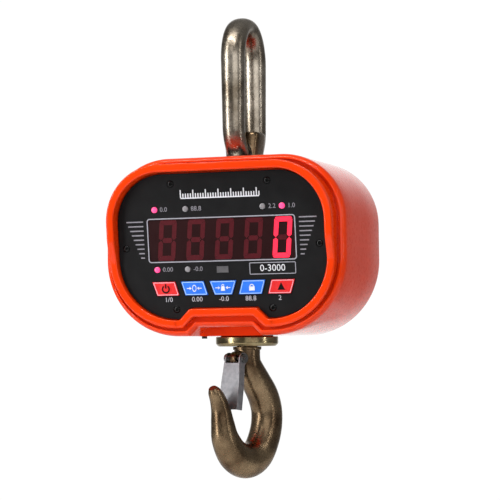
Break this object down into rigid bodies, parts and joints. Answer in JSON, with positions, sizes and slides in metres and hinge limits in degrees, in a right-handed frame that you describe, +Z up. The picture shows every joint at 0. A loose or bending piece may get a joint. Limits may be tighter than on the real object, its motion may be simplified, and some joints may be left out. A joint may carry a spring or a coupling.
{
  "type": "crane scale",
  "caption": "Hanging digital scale: cast housing with a visored readout and keys, a suspension ring above and a swivelling hook with a sprung latch below.",
  "frame": {"origin": "seat of the suspension ring, at the inside of its crown on the load axis", "axes": "+X to the right of the readout, +Y to the rear, +Z up along the load axis"},
  "size_m": [0.237, 0.1475, 0.4426],
  "materials": {
    "housing_paint": "glossy orange powder coat on a metal casting",
    "panel_black": "fine-textured black panel with pale grey print",
    "window_red": "deep red filter window over the digits",
    "digit_black": "black seven-segment display body",
    "lens_pink": "moulded indicator lens",
    "key_red": "red key with a fine pale outline",
    "key_blue": "blue key with a fine pale outline",
    "black_plastic": "black moulded plastic",
    "rubber_black": "black seal rubber",
    "forged_steel": "bronze-grey phosphated forging, worn bright on its crowns",
    "yellow_zinc": "yellow passivated zinc plate, turned",
    "latch_steel": "satin pressed sheet steel",
    "black_steel": "black oxide screws",
    "bare_steel": "machined steel",
    "brass": "turned brass",
    "board_green": "green solder mask",
    "connector_ivory": "ivory connector housing",
    "battery_case": "grey battery case"
  },
  "bodies": {
    "housing": {"main_housing": "housing_paint", "rear_cover": "housing_paint", "rear_gasket": "rubber_black", "rear_cover_screws": "bare_steel", "faceplate": "panel_black", "panel_gasket": "rubber_black", "faceplate_screws": "black_steel", "display_window": "window_red", "digit_module_1": "digit_black", "digit_module_2": "digit_black", "digit_module_3": "digit_black", "digit_module_4": "digit_black", "digit_module_5": "digit_black", "indicator_leds": "lens_pink", "infrared_window": "black_plastic", "infrared_receiver": "black_plastic", "display_board": "board_green", "board_standoffs": "brass", "board_screws": "bare_steel", "key_switches": "black_plastic", "main_board": "board_green", "main_board_pillars": "brass", "main_board_screws": "bare_steel", "amplifier_shield": "bare_steel", "wire_headers": "connector_ivory", "buzzer": "black_plastic", "battery": "battery_case", "battery_bracket": "bare_steel", "battery_terminals": "bare_steel", "charge_socket": "black_plastic", "load_cell": "bare_steel", "gauge_covers": "brass", "cell_gland": "bare_steel", "load_cell_lead": "rubber_black", "top_lug": "forged_steel", "lug_stud": "bare_steel", "lug_washer": "bare_steel", "top_seal": "rubber_black", "hanger_plate": "bare_steel", "hanger_screws": "black_steel", "guide_plate": "bare_steel", "guide_screws": "black_steel", "vent_plug": "rubber_black", "bearing_cup": "yellow_zinc", "cup_cap": "bare_steel", "bearing_race_lower": "bare_steel"},
    "ring": {"suspension_ring": "forged_steel"},
    "swivel": {"hook": "forged_steel", "hook_nut": "bare_steel", "nut_pin": "bare_steel", "bearing_race_upper": "bare_steel", "latch_pin": "bare_steel"},
    "cage": {"bearing_cage": "brass"},
    "latch": {"latch": "latch_steel", "latch_spring": "bare_steel"},
    "power_key": {"key_power": "key_red"},
    "zero_key": {"key_zero": "key_blue"},
    "tare_key": {"key_tare": "key_blue"},
    "hold_key": {"key_hold": "key_blue"},
    "second_key": {"key_second": "key_red"}
  },
  "joints": [
    {"name": "ring_swing", "type": "hinge", "parent": "housing", "child": "ring", "pos_m": [0, 0, -0.121], "axis": [0, 1, 0], "range_deg": [-12, 12]},
    {"name": "hook_swivel", "type": "hinge", "parent": "housing", "child": "swivel", "pos_m": [0, 0, -0.291], "axis": [0, 0, 1], "continuous": true},
    {"name": "cage_roll", "type": "hinge", "parent": "housing", "child": "cage", "pos_m": [0, 0, -0.28475], "axis": [0, 0, 1], "continuous": true},
    {"name": "latch_open", "type": "hinge", "parent": "swivel", "child": "latch", "pos_m": [-0.00581, -0.01597, -0.3114], "axis": [0.9397, -0.342, 0], "range_deg": [0, 24], "stiffness_Nm_per_rad": 0.12, "springref_deg": -34.38},
    {"name": "power_press", "type": "slide", "parent": "housing", "child": "power_key", "axis": [0, 0.9932, 0.1167], "range_m": [0, 0.0006], "stiffness_N_per_m": 1200, "springref_m": -0.0006},
    {"name": "zero_press", "type": "slide", "parent": "housing", "child": "zero_key", "axis": [0, 0.9932, 0.1167], "range_m": [0, 0.0006], "stiffness_N_per_m": 1200, "springref_m": -0.0006},
    {"name": "tare_press", "type": "slide", "parent": "housing", "child": "tare_key", "axis": [0, 0.9932, 0.1167], "range_m": [0, 0.0006], "stiffness_N_per_m": 1200, "springref_m": -0.0006},
    {"name": "hold_press", "type": "slide", "parent": "housing", "child": "hold_key", "axis": [0, 0.9932, 0.1167], "range_m": [0, 0.0006], "stiffness_N_per_m": 1200, "springref_m": -0.0006},
    {"name": "second_press", "type": "slide", "parent": "housing", "child": "second_key", "axis": [0, 0.9932, 0.1167], "range_m": [0, 0.0006], "stiffness_N_per_m": 1200, "springref_m": -0.0006}
  ],
  "couplings": [
    {"joint": "cage_roll", "follows": "hook_swivel", "ratio": 0.5}
  ]
}
